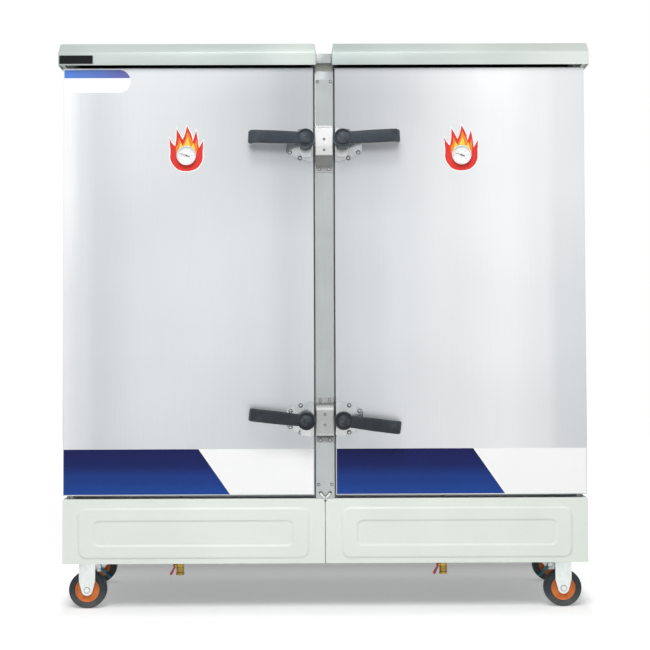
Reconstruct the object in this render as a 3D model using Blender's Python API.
"""Two-door rice steamer cabinet on casters, as separate pieces in their real places.

Two insulated steam cabinets stand side by side on one welded base. Each has an outer shell, a liner, a
tray rack, a water heater, a drain valve, a top cover and a door that turns on two vertical pins. Two cam
latches with bar handles hold each door to keepers on the centre post. The front casters are fixed and the
rear ones swivel, each with a brake pedal.

Units are metres, +X is to the right as one faces the doors, +Y is to the back and +Z is up. The origin is
at the floor, at the middle of the whole object's plan.
"""

import math

import bmesh
import bpy
from mathutils import Matrix, Vector

# Clearances and walls shared by the whole cabinet
FIT = 0.0003
OVERRUN = 0.003
WELD = 0.001
BODY_SHEET = 0.0012
BASE_SHEET = 0.0015
LEFT, RIGHT = -1, 1
SIDES = {"left": LEFT, "right": RIGHT}
CURVE_STEPS = 3
ROUND_STEPS = 20
MITRE_LEAST_SHARE = 0.2
SAME_POINT = 0.000002
SHARP_DEGREES = 35

# Base
BASE_WIDTH = 1.400
BASE_DEPTH = 0.600
BASE_HEIGHT = 0.172
BASE_SEAM = 0.001
PANEL_RETURN = 0.014
PANEL_RAISE = 0.003
PANEL_EDGE_RADIUS = 0.0022
RAISED_MARGIN_X = 0.042
RAISED_MARGIN_Z = 0.018
RAISED_RADIUS = 0.024
RAISED_SLOPE = 0.003
RECESS_MARGIN_X = 0.046
RECESS_MARGIN_Z = 0.038
RECESS_RADIUS = 0.012
ANGLE_WIDTH = 0.040
ANGLE_THICKNESS = 0.003
GUSSET_SIDE = 0.130

# Cabinet bodies
BODY_INSET = 0.002
BODY_SEAM = 0.001
BODY_HEIGHT = 1.160
DOOR_TO_FACE = 0.012
INNER_WALL = 0.0435
OUTER_WALL = 0.044
FLOOR_WALL = 0.033
ROOF_WALL = 0.034
BACK_WALL = 0.035

# Top covers
COVER_OVERHANG_SIDE = 0.011
COVER_OVERHANG_FRONT = 0.016
COVER_OVERHANG_BACK = 0.012
COVER_GAP = 0.042
COVER_BAND = 0.029
COVER_SLOPE = 0.027
COVER_SLOPE_SIDE = 0.0035
COVER_SLOPE_FRONT = 0.014
COVER_FLANGE = 0.014
COVER_CORNER = 0.003

# Doors
DOOR_DEPTH = 0.050
DOOR_BOTTOM_GAP = 0.009
DOOR_TOP_GAP = 0.0103
DOOR_POST_GAP = 0.003
DOOR_SHEET = 0.0012
DOOR_CORNER = 0.002
DOOR_EDGE_ROUND = 0.003
DOOR_PAN_LIP = 0.010
DOOR_PAN_MARGIN = 0.060
DOOR_PAN_RISE = 0.004
PIVOT_INSET = 0.022
PIVOT_PIN_RADIUS = 0.006
PIVOT_PIN_ENTRY = 0.020
PIVOT_CLEARANCE = 0.0006
PIVOT_SOCKET_SIDE = 0.026
PIVOT_SOCKET_HEIGHT = 0.030
PIVOT_PLATE_WIDTH = 0.030
PIVOT_PLATE_THICKNESS = 0.004
PIVOT_PLATE_REACH = 0.060
GASKET_WIDTH = 0.011
GASKET_INNER_INSET = 0.003
GASKET_OUTER_INSET = 0.031
GASKET_END_INSET = 0.009
GASKET_RADIUS = 0.014

# Centre post, its cover strip and the keepers
POST_WIDTH = 0.050
POST_SHEET = 0.0015
POST_FRONT = 0.003
POST_HEAD_CLEARANCE = 0.0007
POST_HEAD_HEIGHT = 0.028
POST_HEAD_FRONT = 0.006
STRIP_WIDTH = 0.045
STRIP_SHEET = 0.0012
STRIP_TOP_MARGIN = 0.050
STRIP_BOTTOM_MARGIN = 0.045
KEEPER_WIDTH = 0.046
KEEPER_SHEET = 0.002
KEEPER_BRIDGE = 0.078
KEEPER_LOWER_LEGS = {"upper": 0.016, "lower": 0.007}
KEEPER_LOWER_FEET = {"upper": 0.022, "lower": 0.014}
KEEPER_UPPER_LEG = 0.007
KEEPER_UPPER_FEET = {"upper": 0.003, "lower": 0.014}
KEEPER_STAND = 0.0142
KEEPER_DROPS = {"upper": 0.007, "lower": 0.0}

# Latches
UPPER_LATCH_FROM_TOP = 0.207
LOWER_LATCH_FROM_BOTTOM = 0.208
LATCH_INSET = 0.021
HANDLE_RAISED_DEGREES = {
    ("upper", "left"): 2.0,
    ("upper", "right"): 2.8,
    ("lower", "left"): 6.5,
    ("lower", "right"): -7.4,
}
HUB_RADIUS = 0.024
HUB_FRONT = 0.064
HUB_BACK = 0.022
HUB_NECK_RADIUS = 0.015
HUB_EDGE = 0.003
SPINDLE_RADIUS = 0.006
SPINDLE_CAP = 0.006
SPINDLE_CLEARANCE = 0.0004
BAR_LENGTH = 0.152
BAR_FRONT = 0.062
BAR_THICKNESS = 0.010
BAR_HEIGHT = 0.034
BAR_BEND_RADIUS = 0.022
BAR_TIP = 0.006
BAR_EDGE = 0.002
CAM_FRONT = 0.010
CAM_THICKNESS = 0.004
CAM_RADIUS = 0.044
CAM_LOBE_DEGREES = 14.0
CAM_DROP_DEGREES = 86.0
PLATE_THICKNESS = 0.003
PLATE_EDGE_GAP = 0.001
PLATE_LENGTH = 0.073
PLATE_HALF_TALL = 0.047
PLATE_HALF_SHORT = 0.030
PLATE_CORNER = 0.008
PLATE_END_RADIUS = 0.013
PLATE_DROPS = {"upper": 0.009, "lower": -0.003}

# Thermometers
THERMOMETER_FROM_TOP = 0.245
THERMOMETER_FROM_HINGE = 0.330
THERMOMETER_RADIUS = 0.026
THERMOMETER_DEPTH = 0.010
BEZEL_WIDTH = 0.0028
DIAL_DEPTH = 0.0055
LENS_THICKNESS = 0.0015
LENS_SETBACK = 0.0008
STEM_RADIUS = 0.004
STEM_REACH = 0.030
STEM_HOLE_RADIUS = 0.0045
POINTER_DEGREES = 161.5
POINTER_LENGTH = 0.019
POINTER_TAIL = 0.009
POINTER_WIDTH = 0.0016
POINTER_TAIL_WIDTH = 0.003
POINTER_THICKNESS = 0.0008
POINTER_HUB_RADIUS = 0.0026
POINTER_PIN_RADIUS = 0.0012
POINTER_STAND = 0.0012

# Racks and trays
LEVELS = 12
FIRST_LEVEL = 0.110
LAST_LEVEL_SPACE = 0.059
UPRIGHT_THICKNESS = 0.003
UPRIGHT_WIDTH = 0.025
RUNNER_WIDTH = 0.024
RUNNER_THICKNESS = 0.002
RACK_FRONT_INSET = 0.045
RACK_BACK_INSET = 0.025
RACK_FEET_INSET = 0.004
TIE_HEIGHT = 0.020
TRAY_SIDE_PLAY = 0.0027
TRAY_DEPTH = 0.400
TRAY_HEIGHT = 0.048
TRAY_SHEET = 0.0012
TRAY_RIM = 0.008
TRAY_TAPER = 0.006
TRAY_RADIUS = 0.020
TRAY_SETBACK = 0.004
LOADED_LEVELS = (3, 8)

# Water heaters and drains
HEATER_TUBE_RADIUS = 0.006
HEATER_SPREAD = 0.140
HEATER_LIFT = 0.024
HEATER_FRONT_INSET = 0.110
HEATER_FLANGE_RADIUS = 0.018
HEATER_FLANGE_THICKNESS = 0.005
HEATER_TUBE_SIDES = 3
HEATER_BRIDGE_HEIGHT = 0.022
DRAIN_FROM_CENTRE = {"left": 0.393, "right": 0.319}
DRAIN_BACK_FROM_FRONT = 0.072
DRAIN_PIPE_RADIUS = 0.007
DRAIN_HOLE_RADIUS = 0.006
DRAIN_CLEARANCE = 0.001
DRAIN_BODY_RADIUS = 0.0102
DRAIN_NUT_RADIUS = 0.0115
DRAIN_BODY_HEIGHT = 0.036
DRAIN_BOTTOM = 0.088
DRAIN_NUT_HEIGHT = 0.008
DRAIN_BORE_RADIUS = 0.0055
DRAIN_BORE_DEPTH = 0.012
LEVER_STEM_RADIUS = 0.003
LEVER_STEM_LENGTH = 0.008
LEVER_STEM_HEIGHT = 0.026
LEVER_STRIP = 0.0025
LEVER_WIDTH = 0.011
LEVER_DROP = 0.026
LEVER_FLARE = 0.009

# Casters
CASTER_HEIGHT = 0.128
CASTER_FROM_SIDE = 0.057
FRONT_CASTER_BACK = 0.080
REAR_CASTER_FROM_BACK = 0.114
CASTER_PLATE_LONG = 0.100
CASTER_PLATE_SHORT = 0.076
CASTER_PLATE_THICKNESS = 0.003
WHEEL_RADIUS = 0.050
WHEEL_WIDTH = 0.032
WHEEL_STEPS = 24
TREAD_CHAMFER = 0.004
TYRE_DEPTH = 0.0175
HUB_RECESS = 0.004
WHEEL_BOSS_RADIUS = 0.012
AXLE_RADIUS = 0.005
AXLE_HEAD_RADIUS = 0.006
AXLE_HEAD_HEIGHT = 0.003
LEG_THICKNESS = 0.0025
LEG_GAP = 0.0025
LEG_TOP_WIDTH = 0.044
LEG_END_RADIUS = 0.015
LEG_TAPER_HEIGHT = 0.024
TRAIL = 0.036
RACE_RADIUS = 0.024
RACE_HEIGHT = 0.013
CROWN_GAP = 0.0025
CROWN_THICKNESS = 0.003
CROWN_HALF_LENGTH = 0.028
KINGPIN_RADIUS = 0.006
KINGPIN_NUT_RADIUS = 0.009
KINGPIN_NUT_HEIGHT = 0.005
PEDAL_INBOARD = 0.0095
PEDAL_BELOW = 0.0075
PEDAL_PIN_RADIUS = 0.0025
PEDAL_EYE_RADIUS = 0.0052
PEDAL_LENGTH = 0.037
PEDAL_TIP_RADIUS = 0.004
PEDAL_WIDTH = 0.014
PEDAL_SHEET = 0.003
PEDAL_DEGREES = 45.0

# Places that follow from the sizes above, front to back
FACE = DOOR_DEPTH + DOOR_TO_FACE
BODY_BACK = BASE_DEPTH
COVER_BACK = BODY_BACK + COVER_OVERHANG_BACK
DOOR_FRONT = (HUB_FRONT - COVER_BACK) / 2
REAR_CASTER_BACK = BASE_DEPTH - REAR_CASTER_FROM_BACK

# Places that follow, floor to top
BASE_TOP = CASTER_HEIGHT + BASE_HEIGHT
BODY_BOTTOM = BASE_TOP + FIT
BODY_TOP = BODY_BOTTOM + BODY_HEIGHT
DOOR_BOTTOM = BASE_TOP + DOOR_BOTTOM_GAP
DOOR_TOP = BODY_TOP - DOOR_TOP_GAP
COVER_BOTTOM = BODY_TOP + FIT
COVER_TOP = COVER_BOTTOM + COVER_BAND + COVER_SLOPE
LATCH_LEVELS = {
    "upper": BODY_TOP - UPPER_LATCH_FROM_TOP,
    "lower": BODY_BOTTOM + LOWER_LATCH_FROM_BOTTOM,
}
CAVITY_FLOOR = BODY_BOTTOM + FLOOR_WALL
CAVITY_ROOF = BODY_TOP - ROOF_WALL
LEVEL_PITCH = (CAVITY_ROOF - CAVITY_FLOOR - FIRST_LEVEL - LAST_LEVEL_SPACE) / (LEVELS - 1)

# Places that follow, out from the centre line
BODY_OUTER = BASE_WIDTH / 2 - BODY_INSET
BODY_INNER = BODY_SEAM / 2
CAVITY_INNER = BODY_INNER + INNER_WALL
CAVITY_OUTER = BODY_OUTER - OUTER_WALL
CAVITY_BACK = BODY_BACK - BACK_WALL
DOOR_INNER = POST_WIDTH / 2 + DOOR_POST_GAP
DOOR_OUTER = BODY_OUTER
COVER_INNER = COVER_GAP / 2
COVER_OUTER = BODY_OUTER + COVER_OVERHANG_SIDE
PIVOT_OUT = DOOR_OUTER - PIVOT_INSET
PIVOT_BACK = DOOR_DEPTH / 2
LATCH_OUT = DOOR_INNER + LATCH_INSET
THERMOMETER_OUT = DOOR_OUTER - THERMOMETER_FROM_HINGE
CASTER_OUT = BASE_WIDTH / 2 - CASTER_FROM_SIDE
WHEEL_LIFT = WHEEL_RADIUS
LEG_IN = WHEEL_WIDTH / 2 + LEG_GAP
LEG_OUT = LEG_IN + LEG_THICKNESS

FINISHES = {
    "stainless": ((0.70, 0.74, 0.76), 0.34, 0.9),
    "stainless_bright": ((0.80, 0.81, 0.81), 0.22, 1.0),
    "stainless_inside": ((0.62, 0.64, 0.65), 0.40, 0.9),
    "painted_base": ((0.73, 0.79, 0.73), 0.45, 0.0),
    "frame_steel": ((0.42, 0.44, 0.45), 0.55, 0.6),
    "handle_dark": ((0.06, 0.08, 0.10), 0.45, 0.0),
    "fork_white": ((0.80, 0.88, 0.87), 0.40, 0.1),
    "wheel_orange": ((0.80, 0.25, 0.06), 0.50, 0.0),
    "pedal_teal": ((0.05, 0.34, 0.48), 0.45, 0.0),
    "brass": ((0.58, 0.42, 0.14), 0.35, 0.9),
    "lever_red": ((0.60, 0.07, 0.06), 0.45, 0.0),
    "gasket": ((0.55, 0.56, 0.56), 0.80, 0.0),
    "dial_black": ((0.02, 0.02, 0.02), 0.50, 0.0),
    "lens_clear": ((0.95, 0.97, 0.98), 0.05, 0.0),
}


def clear_scene():
    for item in list(bpy.data.objects):
        bpy.data.objects.remove(item, do_unlink=True)


def add_object(name, bm):
    """Put a finished bmesh into the scene as one object."""
    mesh = bpy.data.meshes.new(name)
    bm.to_mesh(mesh)
    bm.free()
    item = bpy.data.objects.new(name, mesh)
    bpy.context.scene.collection.objects.link(item)
    return item


def along(axis, u, v, w):
    """A point from two coordinates in the plane across an axis and one along it."""
    if axis == "X":
        return Vector((w, u, v))
    if axis == "Y":
        return Vector((u, w, v))
    return Vector((u, v, w))


def box(name, low, high):
    """A rectangular block between two corners, given in any order."""
    bm = bmesh.new()
    bmesh.ops.create_cube(bm, size=1)
    span = [abs(b - a) for a, b in zip(low, high)]
    centre = [(a + b) / 2 for a, b in zip(low, high)]
    bmesh.ops.scale(bm, vec=span, verts=bm.verts)
    bmesh.ops.translate(bm, vec=centre, verts=bm.verts)
    return add_object(name, bm)


def prism(name, outline, axis, start, end):
    """An outline in the plane across an axis, extruded along it."""
    bm = bmesh.new()
    verts = [bm.verts.new(along(axis, u, v, start)) for u, v in outline]
    face = bm.faces.new(verts)
    moved = bmesh.ops.extrude_face_region(bm, geom=[face])["geom"]
    shift = along(axis, 0, 0, end - start)
    bmesh.ops.translate(bm, vec=shift, verts=[g for g in moved if isinstance(g, bmesh.types.BMVert)])
    bmesh.ops.recalc_face_normals(bm, faces=bm.faces)
    return add_object(name, bm)


def turned(name, profile, centre, axis, steps=ROUND_STEPS, flat_down=False):
    """A profile of (radius, place along the axis) spun once about the axis through the centre."""
    bm = bmesh.new()
    verts = [bm.verts.new(along(axis, radius, 0, place)) for radius, place in profile]
    closed = all(radius > 0 for radius, _ in profile)
    pairs = list(zip(verts, verts[1:]))
    if closed:
        pairs.append((verts[-1], verts[0]))
    edges = [bm.edges.new(pair) for pair in pairs]
    bmesh.ops.spin(
        bm,
        geom=verts + edges,
        cent=(0, 0, 0),
        axis=along(axis, 0, 0, 1),
        angle=math.tau,
        steps=steps,
        use_merge=False,
    )
    bmesh.ops.remove_doubles(bm, verts=bm.verts, dist=min(FIT, OVERRUN) / ROUND_STEPS)
    bmesh.ops.recalc_face_normals(bm, faces=bm.faces)
    if flat_down:
        half_step = Matrix.Rotation(math.pi / steps, 4, along(axis, 0, 0, 1))
        bmesh.ops.transform(bm, matrix=half_step, verts=bm.verts)
    bmesh.ops.translate(bm, vec=centre, verts=bm.verts)
    return add_object(name, bm)


def rod(name, centre, axis, radius, start, end, steps=ROUND_STEPS):
    """A plain round bar through the centre, between two places along the axis."""
    profile = [(0, start), (radius, start), (radius, end), (0, end)]
    return turned(name, profile, centre, axis, steps)


def rounded_rectangle(u0, u1, v0, v1, radius=0, steps=0):
    """Corner points, or corner arcs of steps + 1 points, anticlockwise."""
    if not steps:
        return [(u0, v0), (u1, v0), (u1, v1), (u0, v1)]
    points = []
    left, right = u0 + radius, u1 - radius
    low, high = v0 + radius, v1 - radius
    corners = ((right, low), (right, high), (left, high), (left, low))
    for quarter, (cu, cv) in enumerate(corners, start=-1):
        for step in range(steps + 1):
            angle = (quarter + step / steps) * math.pi / 2
            points.append((cu + radius * math.cos(angle), cv + radius * math.sin(angle)))
    return points


def hull_outline(circles, steps=CURVE_STEPS * 4):
    """The tight outline round circles given as (u, v, radius), anticlockwise."""
    points = set()
    for cu, cv, radius in circles:
        for step in range(steps):
            angle = math.tau * step / steps
            points.add((cu + radius * math.cos(angle), cv + radius * math.sin(angle)))
    ordered = sorted(points)

    def half(sequence):
        chain = []
        for point in sequence:
            while len(chain) > 1 and turn(chain[-2], chain[-1], point) <= 0:
                chain.pop()
            chain.append(point)
        return chain[:-1]

    return half(ordered) + half(reversed(ordered))


def turn(a, b, c):
    """Twice the area of a triangle, positive where it runs anticlockwise."""
    return (b[0] - a[0]) * (c[1] - a[1]) - (b[1] - a[1]) * (c[0] - a[0])


def thickened(path, thickness):
    """The outline of a strip whose right side follows the path and whose left side is offset."""
    offset = []
    for index, point in enumerate(path):
        before = path[max(index - 1, 0)]
        after = path[min(index + 1, len(path) - 1)]
        arriving = Vector(point) - Vector(before) if index else Vector(after) - Vector(point)
        leaving = Vector(after) - Vector(point) if index < len(path) - 1 else arriving
        first = Vector((-arriving.y, arriving.x)).normalized()
        second = Vector((-leaving.y, leaving.x)).normalized()
        middle = (first + second).normalized()
        reach = thickness / max(middle.dot(first), MITRE_LEAST_SHARE)
        offset.append(tuple(Vector(point) + middle * reach))
    return list(path) + offset[::-1]


def pressed_sheet(name, loops, axis, thickness, ahead=False):
    """Sheet metal through nested outlines, closed over the last one.

    Each loop is (outline, place along the axis). The thickness lies behind the surface, as seen from the
    side that the last outline's anticlockwise order faces, or ahead of it.
    """
    bm = bmesh.new()
    rings = [[bm.verts.new(along(axis, u, v, place)) for u, v in outline] for outline, place in loops]
    count = len(rings[0])
    for first, second in zip(rings, rings[1:]):
        for i in range(count):
            j = (i + 1) % count
            bm.faces.new((first[i], first[j], second[j], second[i]))
    bm.faces.new(rings[-1])
    sheet = add_object(name, bm)
    wall = sheet.modifiers.new("wall", "SOLIDIFY")
    wall.thickness = thickness
    wall.offset = 1 if ahead else -1
    wall.use_even_offset = True
    return settle(sheet)


def settle(item, used=()):
    """Apply an object's modifiers and remove the shapes that they used."""
    bpy.context.view_layer.update()
    shape = item.evaluated_get(bpy.context.evaluated_depsgraph_get())
    mesh = bpy.data.meshes.new_from_object(shape)
    item.modifiers.clear()
    item.data = mesh
    for tool in used:
        bpy.data.objects.remove(tool, do_unlink=True)
    return item


def combine(item, operation, tools):
    """Join other shapes to an object, or cut them out of it."""
    for tool in tools:
        step = item.modifiers.new(operation.lower(), "BOOLEAN")
        step.operation = operation
        step.solver = "EXACT"
        step.object = tool
    settle(item, tools)
    bm = bmesh.new()
    bm.from_mesh(item.data)
    bmesh.ops.remove_doubles(bm, verts=bm.verts, dist=SAME_POINT)
    bm.to_mesh(item.data)
    bm.free()
    return item


def join(item, *tools):
    return combine(item, "UNION", tools)


def cut(item, *tools):
    return combine(item, "DIFFERENCE", tools)


def soften(item, width, segments=1):
    """Bevel every edge of a plain shape."""
    edge = item.modifiers.new("edge", "BEVEL")
    edge.width = width
    edge.segments = segments
    edge.limit_method = "ANGLE"
    return settle(item)


def finish(item, finish_name):
    """Give a piece its own material and smooth shading between its sharp edges."""
    colour, roughness, metallic = FINISHES[finish_name]
    material = bpy.data.materials.new(f"{item.name}_{finish_name}")
    material.use_nodes = True
    shader = material.node_tree.nodes["Principled BSDF"]
    shader.inputs["Base Color"].default_value = (*colour, 1)
    shader.inputs["Roughness"].default_value = roughness
    shader.inputs["Metallic"].default_value = metallic
    item.data.materials.clear()
    item.data.materials.append(material)
    item.data.shade_smooth()
    item.data.set_sharp_from_angle(angle=math.radians(SHARP_DEGREES))
    return item


def hang_on(items, name, point):
    """Parent pieces to an empty on their joint's axis and leave them in place."""
    pivot = bpy.data.objects.new(name, None)
    pivot.location = point
    bpy.context.scene.collection.objects.link(pivot)
    bpy.context.view_layer.update()
    for item in items:
        item.parent = pivot
        item.matrix_parent_inverse = pivot.matrix_world.inverted()
    return pivot


def at_depth(back):
    """A place on Y from a distance behind the doors' front plane."""
    return DOOR_FRONT + back


def across(side, near, far):
    """Two places on X, lower first, from distances out from the centre line."""
    return sorted((side * near, side * far))


def chamfered_bay(x0, x1, y0, y1, outer_side, chamfer):
    """Plan of one opening in the base's flanges, cut across at the two outer corners."""
    front, back = y0 + chamfer, y1 - chamfer
    if outer_side == RIGHT:
        edge = x1 - chamfer
        return [(x0, y0), (edge, y0), (x1, front), (x1, back), (edge, y1), (x0, y1)]
    edge = x0 + chamfer
    return [(edge, y0), (x1, y0), (x1, y1), (edge, y1), (x0, back), (x0, front)]


def base_frame():
    """Welded angle frame: two rings, corner posts, a cross member, caster gussets and lower door pins."""
    half_width = BASE_WIDTH / 2 - BASE_SHEET - FIT
    front = at_depth(PANEL_RAISE + PANEL_RETURN + FIT)
    back = at_depth(BASE_DEPTH - BASE_SHEET - FIT)
    low, high = CASTER_HEIGHT, BASE_TOP
    wall, angle = ANGLE_THICKNESS, ANGLE_WIDTH
    frame = box("base_frame", (-half_width, front, low), (half_width, back, high))
    inside = half_width - wall
    cutters = [box("hollow", (-inside, front + wall, low + wall), (inside, back - wall, high - wall))]
    for side in SIDES.values():
        x0, x1 = across(side, angle / 2, half_width - angle)
        bay = chamfered_bay(x0, x1, front + angle, back - angle, side, GUSSET_SIDE - angle)
        cutters.append(prism("bay", bay, "Z", low - OVERRUN, high + OVERRUN))
    sill, lintel = low + angle, high - angle
    window = half_width - angle
    past = half_width + OVERRUN
    cutters.append(box("front_window", (-window, front - OVERRUN, sill), (window, back + OVERRUN, lintel)))
    cutters.append(box("side_window", (-past, front + angle, sill), (past, back - angle, lintel)))
    cut(frame, *cutters)
    pins = []
    for side in SIDES.values():
        pin_top = DOOR_BOTTOM + PIVOT_PIN_ENTRY
        pins.append(rod("pin", pivot_point(side), "Z", PIVOT_PIN_RADIUS, high - wall / 2, pin_top))
    join(frame, *pins)
    return finish(frame, "frame_steel")


def base_panel(label, side):
    """Front panel of the base: a pressed sheet with a raised rounded field and a recess in it."""
    x0, x1 = across(side, BASE_SEAM / 2, BASE_WIDTH / 2)
    z0, z1 = CASTER_HEIGHT, BASE_TOP
    plane = at_depth(PANEL_RAISE)

    def field(margin_x, margin_z, radius, inset=0):
        u, v = margin_x + inset, margin_z + inset
        return rounded_rectangle(x0 + u, x1 - u, z0 + v, z1 - v, radius - inset, CURVE_STEPS)

    edge = PANEL_EDGE_RADIUS
    slope = RAISED_SLOPE
    raised = (RAISED_MARGIN_X, RAISED_MARGIN_Z, RAISED_RADIUS)
    recess = (RAISED_MARGIN_X + RECESS_MARGIN_X, RAISED_MARGIN_Z + RECESS_MARGIN_Z, RECESS_RADIUS)
    loops = [
        (field(0, 0, edge), plane + PANEL_RETURN),
        (field(0, 0, edge), plane + edge),
        (field(edge, edge, edge), plane),
        (field(*raised), plane),
        (field(*raised, slope), plane - PANEL_RAISE),
        (field(*recess, -slope), plane - PANEL_RAISE),
        (field(*recess), plane),
    ]
    panel = pressed_sheet(f"base_panel_{label}", loops, "Y", BASE_SHEET)
    return finish(panel, "painted_base")


def base_skirt():
    """Sides and back of the base in one folded sheet."""
    outer = BASE_WIDTH / 2
    front = at_depth(PANEL_RAISE + PANEL_RETURN + FIT)
    back = at_depth(BASE_DEPTH)
    path = [(-outer, front), (-outer, back), (outer, back), (outer, front)]
    skirt = prism("base_skirt", thickened(path[::-1], BASE_SHEET), "Z", CASTER_HEIGHT, BASE_TOP)
    return finish(skirt, "painted_base")


def outer_shell(label, side):
    """Outside of one cabinet: sides, top, bottom and back in one welded sheet box, open in front."""
    x0, x1 = across(side, BODY_INNER, BODY_OUTER)
    outline = rounded_rectangle(x0, x1, BODY_BOTTOM, BODY_TOP)
    loops = [(outline, at_depth(FACE + BODY_SHEET + FIT)), (outline, at_depth(BODY_BACK))]
    shell = pressed_sheet(f"outer_shell_{label}", loops, "Y", BODY_SHEET, ahead=True)
    radius = DRAIN_PIPE_RADIUS + DRAIN_CLEARANCE
    hole = rod("hole", drain_axis(label), "Z", radius, BODY_BOTTOM - OVERRUN, BODY_BOTTOM + OVERRUN)
    return finish(cut(shell, hole), "stainless")


def liner(label, side):
    """Inside of one cabinet: the steam chamber, with the face that the door's gasket meets."""
    x0, x1 = across(side, BODY_INNER, BODY_OUTER)
    c0, c1 = across(side, CAVITY_INNER, CAVITY_OUTER)
    face = rounded_rectangle(x0, x1, BODY_BOTTOM, BODY_TOP)
    mouth = rounded_rectangle(c0, c1, CAVITY_FLOOR, CAVITY_ROOF)
    loops = [(face, at_depth(FACE)), (mouth, at_depth(FACE)), (mouth, at_depth(CAVITY_BACK))]
    chamber = pressed_sheet(f"liner_{label}", loops, "Y", BODY_SHEET)
    start, end = CAVITY_FLOOR - OVERRUN, CAVITY_FLOOR + OVERRUN
    hole = rod("hole", drain_axis(label), "Z", DRAIN_HOLE_RADIUS, start, end)
    return finish(cut(chamber, hole), "stainless_inside")


def top_cover(label, side):
    """Sheet cap over one cabinet: an in-turned flange, an upright band and a shallow sloped top edge."""
    x0, x1 = across(side, COVER_INNER, COVER_OUTER)
    y0, y1 = at_depth(-COVER_OVERHANG_FRONT), at_depth(COVER_BACK)

    def outline(u, v):
        return rounded_rectangle(x0 + u, x1 - u, y0 + v, y1 - v, COVER_CORNER, CURVE_STEPS // 2)

    loops = [
        (outline(COVER_FLANGE, COVER_FLANGE), COVER_BOTTOM),
        (outline(0, 0), COVER_BOTTOM),
        (outline(0, 0), COVER_BOTTOM + COVER_BAND),
        (outline(COVER_SLOPE_SIDE, COVER_SLOPE_FRONT), COVER_TOP),
    ]
    cover = pressed_sheet(f"top_cover_{label}", loops, "Z", BODY_SHEET)
    return finish(cover, "stainless")


def centre_post():
    """Folded channel between the doors, with a narrow head that fills the gap between the covers."""
    half = POST_WIDTH / 2
    front, back = at_depth(POST_FRONT), at_depth(FACE - FIT)
    channel = [(half, back), (half, front), (-half, front), (-half, back)]
    post = prism("centre_post", thickened(channel[::-1], POST_SHEET), "Z", BODY_BOTTOM, BODY_TOP)
    head_half = COVER_INNER - POST_HEAD_CLEARANCE
    head_front = at_depth(-POST_HEAD_FRONT)
    head_low = BODY_TOP - POST_SHEET
    head_high = COVER_BOTTOM + POST_HEAD_HEIGHT
    head = box("head", (-head_half, head_front, head_low), (head_half, back, head_high))
    hollow = box(
        "hollow",
        (POST_SHEET - head_half, head_front + POST_SHEET, head_low + POST_SHEET),
        (head_half - POST_SHEET, back + OVERRUN, head_high - POST_SHEET),
    )
    join(post, cut(head, hollow))
    return finish(post, "stainless")


def strip_front():
    """Front plane of the post's cover strip, which the keepers stand on."""
    return at_depth(POST_FRONT) - FIT - STRIP_SHEET


def post_cover_strip():
    """Flat strip over the front of the post."""
    half = STRIP_WIDTH / 2
    z0, z1 = BODY_BOTTOM + STRIP_BOTTOM_MARGIN, BODY_TOP - STRIP_TOP_MARGIN
    front = strip_front()
    strip = box("post_cover_strip", (-half, front, z0), (half, front + STRIP_SHEET, z1))
    return finish(strip, "stainless")


def keeper(level):
    """Hat-shaped bracket on the post that both doors' latch cams turn in behind."""
    z = LATCH_LEVELS[level] - KEEPER_DROPS[level]
    seat = strip_front() - FIT
    bridge = seat - KEEPER_STAND
    low_leg = KEEPER_BRIDGE / 2 + KEEPER_LOWER_LEGS[level]
    low_foot = low_leg + KEEPER_LOWER_FEET[level]
    high_leg = KEEPER_BRIDGE / 2 + KEEPER_UPPER_LEG
    high_foot = high_leg + KEEPER_UPPER_FEET[level]
    path = [
        (seat, z - low_foot),
        (seat, z - low_leg),
        (bridge + KEEPER_SHEET, z - KEEPER_BRIDGE / 2),
        (bridge + KEEPER_SHEET, z + KEEPER_BRIDGE / 2),
        (seat, z + high_leg),
        (seat, z + high_foot),
    ]
    half = KEEPER_WIDTH / 2
    bracket = prism(f"{level}_keeper", thickened(path, KEEPER_SHEET), "X", -half, half)
    return finish(bracket, "stainless_bright")


def door_span(side):
    return across(side, DOOR_INNER, DOOR_OUTER)


def pivot_point(side):
    return Vector((side * PIVOT_OUT, at_depth(PIVOT_BACK), 0))


def latch_point(level, side):
    return Vector((side * LATCH_OUT, at_depth(0), LATCH_LEVELS[level]))


def thermometer_point(side):
    return Vector((side * THERMOMETER_OUT, at_depth(0), BODY_TOP - THERMOMETER_FROM_TOP))


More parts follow.
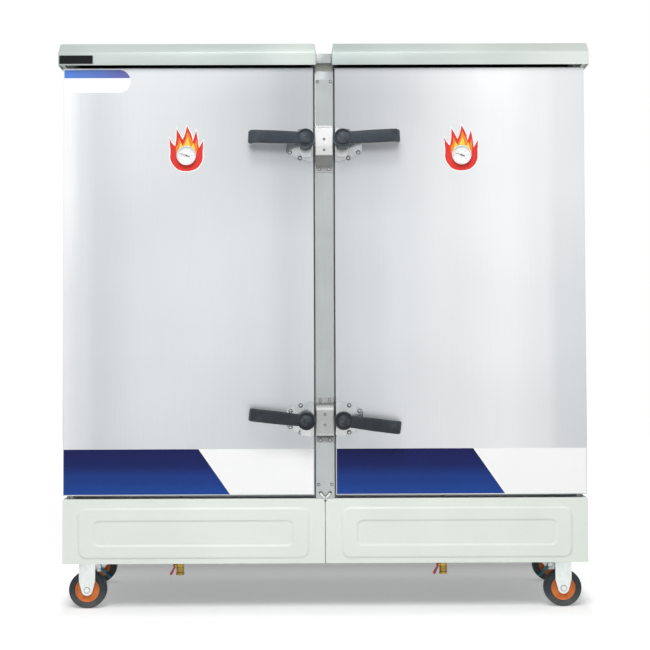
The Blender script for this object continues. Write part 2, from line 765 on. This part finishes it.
def door_skin(label, side):
    """Front pan of a door, with the two sockets that its pivot pins turn in."""
    x0, x1 = door_span(side)
    roll = DOOR_EDGE_ROUND

    def outline(inset):
        low, high = DOOR_BOTTOM + inset, DOOR_TOP - inset
        return rounded_rectangle(x0 + inset, x1 - inset, low, high, DOOR_CORNER, CURVE_STEPS // 2)

    loops = [(outline(0), at_depth(DOOR_DEPTH)), (outline(0), at_depth(roll))]
    for step in (1, 2):
        angle = step * math.pi / 4
        loops.append((outline(roll * (1 - math.cos(angle))), at_depth(roll * (1 - math.sin(angle)))))
    skin = pressed_sheet(f"door_skin_{label}", loops, "Y", DOOR_SHEET)
    pivot = pivot_point(side)
    half = PIVOT_SOCKET_SIDE / 2
    inside = DOOR_SHEET / 2
    bore = PIVOT_PIN_RADIUS + PIVOT_CLEARANCE
    depth = PIVOT_PIN_ENTRY + WELD
    sockets, bores = [], []
    for end, inward in ((DOOR_BOTTOM, 1), (DOOR_TOP, -1)):
        near = (pivot.x - half, pivot.y - half, end + inward * inside)
        far = (pivot.x + half, pivot.y + half, end + inward * PIVOT_SOCKET_HEIGHT)
        sockets.append(box("socket", near, far))
        start, stop = sorted((end - inward * OVERRUN, end + inward * depth))
        bores.append(rod("bore", pivot, "Z", bore, start, stop))
    join(skin, *sockets)
    stem = rod("stem", thermometer_point(side), "Y", STEM_HOLE_RADIUS, -OVERRUN, DOOR_DEPTH)
    return finish(cut(skin, stem, *bores), "stainless")


def door_liner(label, side):
    """Back pan of a door, seated inside the front pan and raised toward the chamber in the middle."""
    x0, x1 = door_span(side)
    gap = DOOR_SHEET + FIT

    def outline(inset):
        margin = gap + inset
        low, high = DOOR_BOTTOM + margin, DOOR_TOP - margin
        return rounded_rectangle(x0 + margin, x1 - margin, low, high, DOOR_CORNER, CURVE_STEPS // 2)

    back = at_depth(DOOR_DEPTH)
    slope = DOOR_PAN_RISE
    loops = [
        (outline(0), back - DOOR_PAN_LIP),
        (outline(0), back),
        (outline(DOOR_PAN_MARGIN), back),
        (outline(DOOR_PAN_MARGIN + slope), back + slope),
    ]
    pan = pressed_sheet(f"door_liner_{label}", loops, "Y", DOOR_SHEET, ahead=True)
    reach = DOOR_DEPTH + DOOR_PAN_RISE + OVERRUN
    stem = rod("stem", thermometer_point(side), "Y", STEM_HOLE_RADIUS, DOOR_DEPTH - DOOR_PAN_LIP, reach)
    return finish(cut(pan, stem), "stainless_inside")


def door_gasket(label, side):
    """Soft seal round the back of a door, which meets the chamber's face."""
    x0, x1 = across(side, DOOR_INNER + GASKET_INNER_INSET, DOOR_OUTER - GASKET_OUTER_INSET)
    z0, z1 = DOOR_BOTTOM + GASKET_END_INSET, DOOR_TOP - GASKET_END_INSET
    front, back = at_depth(DOOR_DEPTH + FIT), at_depth(FACE - FIT)
    wide = GASKET_WIDTH
    outer = rounded_rectangle(x0, x1, z0, z1, GASKET_RADIUS, CURVE_STEPS)
    inner = rounded_rectangle(x0 + wide, x1 - wide, z0 + wide, z1 - wide, GASKET_RADIUS - wide, CURVE_STEPS)
    seal = prism(f"door_gasket_{label}", outer, "Y", front, back)
    hole = prism("hole", inner, "Y", front - OVERRUN, back + OVERRUN)
    return finish(cut(seal, hole), "gasket")


def upper_pivot(label, side):
    """Bracket on top of a shell, reaching forward over the door, with the upper door pin."""
    pivot = pivot_point(side)
    half = PIVOT_PLATE_WIDTH / 2
    low = BODY_TOP + FIT
    high = low + PIVOT_PLATE_THICKNESS
    front = pivot.y - half
    back = at_depth(FACE + PIVOT_PLATE_REACH)
    plate = box(f"upper_pivot_{label}", (pivot.x - half, front, low), (pivot.x + half, back, high))
    start = DOOR_TOP - PIVOT_PIN_ENTRY
    pin = rod("pin", pivot, "Z", PIVOT_PIN_RADIUS, start, high - PIVOT_PLATE_THICKNESS / 2)
    return finish(join(plate, pin), "frame_steel")


def thermometer_case(label, side):
    """Round cup with a rolled rim and a stem that reaches through the door into the chamber."""
    front = -THERMOMETER_DEPTH
    floor = front + DIAL_DEPTH
    inner = THERMOMETER_RADIUS - BEZEL_WIDTH
    back = -FIT
    profile = [
        (0, floor),
        (inner, floor),
        (inner, front + BEZEL_WIDTH / 4),
        (THERMOMETER_RADIUS - BEZEL_WIDTH / 2, front),
        (THERMOMETER_RADIUS, front + BEZEL_WIDTH / 2),
        (THERMOMETER_RADIUS, back),
        (STEM_RADIUS, back),
        (STEM_RADIUS, FACE + STEM_REACH),
        (0, FACE + STEM_REACH),
    ]
    point = thermometer_point(side)
    case = turned(f"thermometer_case_{label}", profile, point, "Y", ROUND_STEPS)
    pin_top = floor - POINTER_STAND - POINTER_THICKNESS
    pin = rod("pin", point, "Y", POINTER_PIN_RADIUS, pin_top, floor + WELD, CURVE_STEPS * 2)
    return finish(join(case, pin), "stainless_bright")


def thermometer_lens(label, side):
    """Clear disc over the dial."""
    front = -THERMOMETER_DEPTH + LENS_SETBACK
    radius = (THERMOMETER_RADIUS - BEZEL_WIDTH) * math.cos(math.pi / ROUND_STEPS) - FIT
    point = thermometer_point(side)
    lens = rod(f"thermometer_lens_{label}", point, "Y", radius, front, front + LENS_THICKNESS)
    return finish(lens, "lens_clear")


def thermometer_pointer(label, side):
    """Needle with a long thin end, a short thick tail and a hub on the dial's pin."""
    point = thermometer_point(side)
    back = -THERMOMETER_DEPTH + DIAL_DEPTH - POINTER_STAND
    front = back - POINTER_THICKNESS
    blade = [
        (POINTER_LENGTH, 0),
        (0, POINTER_WIDTH / 2),
        (-POINTER_TAIL, POINTER_TAIL_WIDTH / 2),
        (-POINTER_TAIL, -POINTER_TAIL_WIDTH / 2),
        (0, -POINTER_WIDTH / 2),
    ]
    needle = prism(f"thermometer_pointer_{label}", blade, "Y", front, back)
    sides = CURVE_STEPS * 4
    join(needle, rod("hub", (0, 0, 0), "Y", POINTER_HUB_RADIUS, front - POINTER_THICKNESS / 2, back, sides))
    cut(needle, rod("bore", (0, 0, 0), "Y", POINTER_PIN_RADIUS + FIT, front, back + OVERRUN, sides))
    needle.data.transform(Matrix.Rotation(-math.radians(POINTER_DEGREES), 4, "Y"))
    needle.location = point
    return finish(needle, "dial_black")


def latch_plate(level, label, side):
    """Screwed plate on a door with the fixed spindle that a handle turns on."""
    point = latch_point(level, side)
    edge = DOOR_INNER + PLATE_EDGE_GAP
    tall = PLATE_HALF_TALL - PLATE_CORNER
    short = PLATE_HALF_SHORT - PLATE_END_RADIUS
    near, far = edge + PLATE_CORNER, edge + PLATE_LENGTH - PLATE_END_RADIUS
    middle = point.z - PLATE_DROPS[level]
    circles = []
    for up in (-1, 1):
        circles.append((side * near, middle + up * tall, PLATE_CORNER))
        circles.append((side * far, middle + up * short, PLATE_END_RADIUS))
    back = at_depth(-FIT)
    plate = prism(f"{level}_latch_plate_{label}", hull_outline(circles), "Y", back - PLATE_THICKNESS, back)
    reach = -(HUB_FRONT - SPINDLE_CAP - WELD)
    spindle = rod("spindle", point, "Y", SPINDLE_RADIUS, reach, -FIT - PLATE_THICKNESS / 2)
    return finish(join(plate, spindle), "stainless")


def bar_outline():
    """Plan of the bar handle, from its hub to the tip that curls back toward the door."""
    bend = BAR_BEND_RADIUS
    cx, cy = BAR_LENGTH - bend, bend - BAR_FRONT
    outer = [(0, -BAR_FRONT)]
    inner = [(0, BAR_THICKNESS - BAR_FRONT)]
    for step in range(CURVE_STEPS + 1):
        angle = (step / CURVE_STEPS - 1) * math.pi / 2
        outer.append((cx + bend * math.cos(angle), cy + bend * math.sin(angle)))
        tight = bend - BAR_THICKNESS
        inner.append((cx + tight * math.cos(angle), cy + tight * math.sin(angle)))
    outer.append((BAR_LENGTH, cy + BAR_TIP))
    inner.append((BAR_LENGTH - BAR_THICKNESS, cy + BAR_TIP))
    return outer + inner[::-1]


def cam_outline(side):
    """Cam seen from the front: a disc with one lobe that hangs down and turns in behind the keeper."""
    circles = [(0, 0, HUB_NECK_RADIUS + CAM_THICKNESS)]
    tip = CAM_THICKNESS
    for lean in (-CAM_LOBE_DEGREES, CAM_LOBE_DEGREES):
        angle = -math.radians(CAM_DROP_DEGREES + lean)
        reach = CAM_RADIUS - tip
        circles.append((-side * reach * math.cos(angle), reach * math.sin(angle), tip))
    return hull_outline(circles)


def latch_handle(level, label, side):
    """Cast bar handle with its hub and the cam plate behind it, turned to its photographed tilt."""
    grip = prism("grip", [(side * x, y) for x, y in bar_outline()], "Z", -BAR_HEIGHT / 2, BAR_HEIGHT / 2)
    soften(grip, BAR_EDGE)
    face = -HUB_FRONT
    bore = SPINDLE_RADIUS + SPINDLE_CLEARANCE
    profile = [
        (0, face),
        (HUB_RADIUS - HUB_EDGE, face),
        (HUB_RADIUS, face + HUB_EDGE),
        (HUB_RADIUS, -HUB_BACK),
        (HUB_NECK_RADIUS, -HUB_BACK),
        (HUB_NECK_RADIUS, -CAM_FRONT + CAM_THICKNESS / 2),
        (bore, -CAM_FRONT + CAM_THICKNESS / 2),
        (bore, face + SPINDLE_CAP),
        (0, face + SPINDLE_CAP),
    ]
    handle = turned(f"{level}_latch_handle_{label}", profile, (0, 0, 0), "Y", ROUND_STEPS)
    core = rod("core", (0, 0, 0), "Y", bore + WELD, face + SPINDLE_CAP / 2, -HUB_BACK)
    cut(grip, core)
    cam = prism("cam", cam_outline(side), "Y", -CAM_FRONT, -CAM_FRONT + CAM_THICKNESS)
    cut(cam, rod("core", (0, 0, 0), "Y", bore, -CAM_FRONT - OVERRUN, OVERRUN, ROUND_STEPS))
    join(handle, grip, cam)
    raised = HANDLE_RAISED_DEGREES[level, label]
    handle.rotation_euler.y = -side * math.radians(raised)
    handle.location = latch_point(level, side)
    return finish(handle, "handle_dark")


def level_height(index):
    """Top of a pair of tray runners."""
    return CAVITY_FLOOR + FIRST_LEVEL + index * LEVEL_PITCH


def rack_faces(side):
    """The two planes that the rack's uprights stand against, lower X first."""
    x0, x1 = across(side, CAVITY_INNER, CAVITY_OUTER)
    return x0 + FIT, x1 - FIT


def rack_depths():
    return at_depth(FACE + RACK_FRONT_INSET), at_depth(CAVITY_BACK - RACK_BACK_INSET)


def tray_rack(label, side):
    """Tray rack: four flat uprights, a pair of runners for each tray, and ties across the back."""
    wall0, wall1 = rack_faces(side)
    front, back = rack_depths()
    low = CAVITY_FLOOR + FIT
    high = CAVITY_ROOF - RACK_FEET_INSET
    pieces = []
    for wall, inward in ((wall0, 1), (wall1, -1)):
        face = wall + inward * UPRIGHT_THICKNESS
        for start, end in ((front, front + UPRIGHT_WIDTH), (back - UPRIGHT_WIDTH, back)):
            pieces.append(box("upright", (wall, start, low), (face, end, high)))
        root = wall + inward * UPRIGHT_THICKNESS / 2
        reach = face + inward * RUNNER_WIDTH
        for index in range(LEVELS):
            top = level_height(index)
            bottom = top - RUNNER_THICKNESS
            pieces.append(box("runner", (root, front + WELD, bottom), (reach, back - WELD, top)))
    middle = low + LEVEL_PITCH / 2
    for base, top in ((middle, middle + TIE_HEIGHT), (high - TIE_HEIGHT, high)):
        pieces.append(box("tie", (wall0, back - UPRIGHT_THICKNESS, base), (wall1, back, top)))
    rail = low + TIE_HEIGHT
    rack = box(f"tray_rack_{label}", (wall0, front, low), (wall0 + UPRIGHT_THICKNESS, back, rail))
    foot = box("foot", (wall1 - UPRIGHT_THICKNESS, front, low), (wall1, back, rail))
    join(rack, foot, *pieces)
    return finish(rack, "stainless_bright")


def rice_tray(label, side, index):
    """Deep drawn tray with a flat rim that slides on its pair of runners."""
    wall0, wall1 = rack_faces(side)
    middle = (wall0 + wall1) / 2
    front = rack_depths()[0] + TRAY_SETBACK
    top = level_height(LOADED_LEVELS[index]) + FIT + TRAY_HEIGHT
    half = (wall1 - wall0) / 2 - UPRIGHT_THICKNESS - TRAY_SIDE_PLAY

    def outline(inset):
        x0, x1 = middle - half + inset, middle + half - inset
        y0, y1 = front + inset, front + TRAY_DEPTH - inset
        return rounded_rectangle(x0, x1, y0, y1, max(TRAY_RADIUS - inset, TRAY_RADIUS / 2), CURVE_STEPS)

    loops = [
        (outline(0), top),
        (outline(TRAY_RIM), top),
        (outline(TRAY_RIM + TRAY_TAPER), top - TRAY_HEIGHT + TRAY_SHEET),
    ]
    tray = pressed_sheet(f"rice_tray_{label}_{index + 1}", loops, "Z", TRAY_SHEET)
    return finish(tray, "stainless_bright")


def water_heater(label, side):
    """Immersed heating loop in the bottom of a chamber, on a flange against the back wall."""
    wall0, wall1 = rack_faces(side)
    middle = (wall0 + wall1) / 2
    back = at_depth(CAVITY_BACK) - FIT
    seat = back - HEATER_FLANGE_THICKNESS
    front = at_depth(FACE + HEATER_FRONT_INSET)
    height = CAVITY_FLOOR + HEATER_LIFT
    half = HEATER_SPREAD / 2
    curve = bpy.data.curves.new("loop", "CURVE")
    curve.dimensions = "3D"
    curve.bevel_depth = HEATER_TUBE_RADIUS
    curve.bevel_resolution = HEATER_TUBE_SIDES
    curve.use_fill_caps = True
    points = [(middle - half, seat + HEATER_FLANGE_THICKNESS / 2, height)]
    turns = CURVE_STEPS * 4
    for step in range(turns + 1):
        angle = math.pi + math.pi * step / turns
        points.append((middle + half * math.cos(angle), front + half + half * math.sin(angle), height))
    points.append((middle + half, seat + HEATER_FLANGE_THICKNESS / 2, height))
    spline = curve.splines.new("POLY")
    spline.points.add(len(points) - 1)
    for place, point in zip(spline.points, points):
        place.co = (*point, 1)
    loop = bpy.data.objects.new(f"water_heater_{label}", curve)
    bpy.context.scene.collection.objects.link(loop)
    bpy.context.view_layer.update()
    mesh = bpy.data.meshes.new_from_object(loop.evaluated_get(bpy.context.evaluated_depsgraph_get()))
    bpy.data.objects.remove(loop, do_unlink=True)
    heater = bpy.data.objects.new(f"water_heater_{label}", mesh)
    bpy.context.scene.collection.objects.link(heater)
    low, high = height - HEATER_BRIDGE_HEIGHT / 2, height + HEATER_BRIDGE_HEIGHT / 2
    reach = half + HEATER_FLANGE_RADIUS
    flange = box("flange", (middle - reach, seat, low), (middle + reach, back, high))
    join(heater, flange)
    return finish(heater, "stainless_inside")


def drain_axis(label):
    """Upright axis of a chamber's drain pipe."""
    out = SIDES[label] * DRAIN_FROM_CENTRE[label]
    return Vector((out, at_depth(DRAIN_BACK_FROM_FRONT), 0))


def drain_valve(label):
    """Brass drain pipe and ball valve under a chamber, with a socket for the lever's stem."""
    low = DRAIN_BOTTOM
    nut = low + DRAIN_NUT_HEIGHT
    body = low + DRAIN_BODY_HEIGHT
    top = CAVITY_FLOOR - BODY_SHEET - FIT
    profile = [
        (0, low + DRAIN_BORE_DEPTH),
        (DRAIN_BORE_RADIUS, low + DRAIN_BORE_DEPTH),
        (DRAIN_BORE_RADIUS, low),
        (DRAIN_NUT_RADIUS, low),
        (DRAIN_NUT_RADIUS, nut),
        (DRAIN_BODY_RADIUS, nut),
        (DRAIN_BODY_RADIUS, body - DRAIN_NUT_HEIGHT / 2),
        (DRAIN_PIPE_RADIUS, body),
        (DRAIN_PIPE_RADIUS, top),
        (0, top),
    ]
    centre = drain_axis(label)
    valve = turned(f"drain_valve_{label}", profile, centre, "Z", CURVE_STEPS * 4)
    stem_at = (centre.x, centre.y, low + LEVER_STEM_HEIGHT)
    reach = -(DRAIN_BODY_RADIUS + LEVER_STEM_LENGTH)
    stem = rod("stem", stem_at, "X", LEVER_STEM_RADIUS, reach, 0, CURVE_STEPS * 3)
    return finish(join(valve, stem), "brass")


def drain_lever(label):
    """Red strip lever on a drain valve's stem, hanging down and flared outward."""
    centre = drain_axis(label)
    stem_end = centre.x - DRAIN_BODY_RADIUS - LEVER_STEM_LENGTH
    start = LEVER_STRIP / 2 + LEVER_STEM_RADIUS
    half = LEVER_WIDTH / 2
    path = [
        (start, half),
        (start, -half),
        (start - LEVER_FLARE, -LEVER_DROP),
    ]
    sides = CURVE_STEPS * 4
    lever = prism(f"drain_lever_{label}", thickened(path, -LEVER_STRIP), "Y", -half, half)
    join(lever, rod("cap", (0, 0, 0), "X", half, start - LEVER_STRIP / 2, start + LEVER_STRIP, sides))
    cut(lever, rod("bore", (0, 0, 0), "X", LEVER_STEM_RADIUS + FIT, -OVERRUN, LEVER_FLARE, sides))
    lever.location = (stem_end, centre.y, DRAIN_BOTTOM + LEVER_STEM_HEIGHT)
    return finish(lever, "lever_red")


def wheel(name, centre):
    """Caster wheel: a moulded tyre on its hub, standing on a flat facet."""
    outer = WHEEL_RADIUS / math.cos(math.pi / WHEEL_STEPS)
    half = WHEEL_WIDTH / 2
    rim = outer - TYRE_DEPTH
    web = half - HUB_RECESS
    bore = AXLE_RADIUS + FIT
    profile = [
        (bore, -half),
        (WHEEL_BOSS_RADIUS, -half),
        (WHEEL_BOSS_RADIUS, -web),
        (rim, -web),
        (rim, -half),
        (outer - TREAD_CHAMFER, -half),
        (outer, -half + TREAD_CHAMFER),
        (outer, half - TREAD_CHAMFER),
        (outer - TREAD_CHAMFER, half),
        (rim, half),
        (rim, web),
        (WHEEL_BOSS_RADIUS, web),
        (WHEEL_BOSS_RADIUS, half),
        (bore, half),
    ]
    roller = turned(name, profile, (0, 0, 0), "Y", WHEEL_STEPS, flat_down=True)
    roller.location = centre
    return finish(roller, "wheel_orange")


def axle(centre):
    """Axle bolt through both legs of a fork, with its head and nut."""
    reach = LEG_OUT + AXLE_HEAD_HEIGHT
    profile = [
        (0, -reach),
        (AXLE_HEAD_RADIUS, -reach),
        (AXLE_HEAD_RADIUS, -LEG_OUT + WELD),
        (AXLE_RADIUS, -LEG_OUT + WELD),
        (AXLE_RADIUS, LEG_OUT - WELD),
        (AXLE_HEAD_RADIUS, LEG_OUT - WELD),
        (AXLE_HEAD_RADIUS, reach),
        (0, reach),
    ]
    return turned("axle", profile, centre, "Y", CURVE_STEPS * 4)


def caster_point(side, back):
    return Vector((side * CASTER_OUT, at_depth(back), WHEEL_LIFT))


def caster_plate(name, side, back):
    """Top plate of a caster, bolted under the base."""
    point = caster_point(side, back)
    high = CASTER_HEIGHT - FIT
    half_x, half_y = CASTER_PLATE_LONG / 2, CASTER_PLATE_SHORT / 2
    low = high - CASTER_PLATE_THICKNESS
    return box(name, (point.x - half_x, point.y - half_y, low), (point.x + half_x, point.y + half_y, high))


def fork_legs(point, outline):
    """Two flat legs either side of a wheel."""
    return [
        prism("leg", outline, "Y", point.y - LEG_OUT, point.y - LEG_IN),
        prism("leg", outline, "Y", point.y + LEG_IN, point.y + LEG_OUT),
    ]


def front_caster_fork(label, side):
    """Fixed caster frame: top plate, two tapered legs and the axle."""
    point = caster_point(side, FRONT_CASTER_BACK)
    top = CASTER_HEIGHT - FIT - CASTER_PLATE_THICKNESS / 2
    half = LEG_TOP_WIDTH / 2
    corner = LEG_THICKNESS / 2
    taper = WHEEL_LIFT + LEG_TAPER_HEIGHT
    circles = [(point.x, point.z, LEG_END_RADIUS)]
    for sign in (-1, 1):
        circles.append((point.x + sign * (half - corner), top - corner, corner))
        circles.append((point.x + sign * (half - corner), taper, corner))
    fork = caster_plate(f"front_caster_fork_{label}", side, FRONT_CASTER_BACK)
    join(fork, *fork_legs(point, hull_outline(circles)), axle(point))
    return finish(fork, "fork_white")


def crown_height():
    """Underside of a swivel fork's crown, just above its wheel."""
    return WHEEL_LIFT + WHEEL_RADIUS + CROWN_GAP


def rear_caster_plate(label, side):
    """Top plate of a swivel caster with its upper race, kingpin and nut."""
    point = caster_point(side, REAR_CASTER_BACK)
    plate = caster_plate(f"rear_caster_plate_{label}", side, REAR_CASTER_BACK)
    high = CASTER_HEIGHT - FIT - CASTER_PLATE_THICKNESS / 2
    race_low = CASTER_HEIGHT - FIT - CASTER_PLATE_THICKNESS - RACE_HEIGHT
    nut_high = crown_height() - FIT
    profile = [
        (0, high),
        (RACE_RADIUS, high),
        (RACE_RADIUS, race_low),
        (KINGPIN_RADIUS, race_low),
        (KINGPIN_RADIUS, nut_high),
        (KINGPIN_NUT_RADIUS, nut_high),
        (KINGPIN_NUT_RADIUS, nut_high - KINGPIN_NUT_HEIGHT),
        (0, nut_high - KINGPIN_NUT_HEIGHT),
    ]
    race = turned("race", profile, (point.x, point.y, 0), "Z")
    return finish(join(plate, race), "fork_white")


def rear_axle_point(side):
    return caster_point(side, REAR_CASTER_BACK) + Vector((side * TRAIL, 0, 0))


def rear_caster_fork(label, side):
    """Swivel fork: crown, lower race, trailing legs, axle and the pedal's pin."""
    swivel = caster_point(side, REAR_CASTER_BACK)
    point = rear_axle_point(side)
    low = crown_height()
    high = low + CROWN_THICKNESS
    corner = LEG_THICKNESS / 2
    circles = [(point.x, point.z, LEG_END_RADIUS)]
    for sign in (-1, 1):
        circles.append((swivel.x + sign * (CROWN_HALF_LENGTH - corner), high - corner, corner))
    fork = box(
        f"rear_caster_fork_{label}",
        (swivel.x - CROWN_HALF_LENGTH, point.y - LEG_OUT, low),
        (swivel.x + CROWN_HALF_LENGTH, point.y + LEG_OUT, high),
    )
    race_high = CASTER_HEIGHT - FIT - CASTER_PLATE_THICKNESS - RACE_HEIGHT - FIT
    race = rod("race", (swivel.x, swivel.y, 0), "Z", RACE_RADIUS, high - WELD, race_high)
    pin_end = -PEDAL_SHEET
    pin_root = LEG_OUT + FIT - LEG_IN
    pin = rod("pin", pedal_point(side), "Y", PEDAL_PIN_RADIUS, pin_end, pin_root, CURVE_STEPS * 3)
    join(fork, race, *fork_legs(point, hull_outline(circles)), axle(point), pin)
    hole = KINGPIN_RADIUS + FIT
    bore = rod("bore", (swivel.x, swivel.y, 0), "Z", hole, low - OVERRUN, race_high + OVERRUN)
    return finish(cut(fork, bore), "fork_white")


def pedal_point(side):
    """Pivot of a brake pedal, inboard of the axle and a little below it."""
    return rear_axle_point(side) + Vector((-side * PEDAL_INBOARD, -LEG_OUT - FIT, -PEDAL_BELOW))


def brake_pedal(label, side):
    """Brake pedal in its pressed place: an eye on the fork's pin, an arm and a wide foot pad."""
    angle = math.radians(PEDAL_DEGREES)
    forward, down = -side * math.cos(angle), -math.sin(angle)
    tip = PEDAL_LENGTH - PEDAL_TIP_RADIUS
    arm = hull_outline([(0, 0, PEDAL_EYE_RADIUS), (forward * tip, down * tip, PEDAL_TIP_RADIUS)])
    pedal = prism(f"brake_pedal_{label}", arm, "Y", -PEDAL_SHEET, 0)
    ends = (PEDAL_LENGTH / 2, tip)
    pad = hull_outline([(forward * reach, down * reach, PEDAL_SHEET / 2) for reach in ends])
    join(pedal, prism("pad", pad, "Y", -PEDAL_WIDTH, -PEDAL_SHEET / 2))
    bore = rod("bore", (0, 0, 0), "Y", PEDAL_PIN_RADIUS + FIT, -PEDAL_WIDTH, OVERRUN, CURVE_STEPS * 3)
    cut(pedal, bore)
    pedal.location = pedal_point(side)
    return finish(pedal, "pedal_teal")


def build_base():
    base_frame()
    base_skirt()
    for label, side in SIDES.items():
        base_panel(label, side)
        front_caster_fork(label, side)
        wheel(f"front_wheel_{label}", caster_point(side, FRONT_CASTER_BACK))
        rear_caster_plate(label, side)
        fork = rear_caster_fork(label, side)
        roller = wheel(f"rear_wheel_{label}", rear_axle_point(side))
        pedal = brake_pedal(label, side)
        hang_on([fork, roller, pedal], f"rear_swivel_{label}", caster_point(side, REAR_CASTER_BACK))


def build_cabinets():
    for label, side in SIDES.items():
        outer_shell(label, side)
        liner(label, side)
        top_cover(label, side)
        upper_pivot(label, side)
        tray_rack(label, side)
        water_heater(label, side)
        drain_valve(label)
        drain_lever(label)
        for index in range(len(LOADED_LEVELS)):
            rice_tray(label, side, index)
    centre_post()
    post_cover_strip()


def build_doors():
    for label, side in SIDES.items():
        pieces = [
            door_skin(label, side),
            door_liner(label, side),
            door_gasket(label, side),
            thermometer_case(label, side),
            thermometer_lens(label, side),
            thermometer_pointer(label, side),
        ]
        for level in LATCH_LEVELS:
            pieces.append(latch_plate(level, label, side))
            pieces.append(latch_handle(level, label, side))
        hang_on(pieces, f"door_hinge_{label}", pivot_point(side))
    for level in LATCH_LEVELS:
        keeper(level)


clear_scene()
build_base()
build_cabinets()
build_doors()
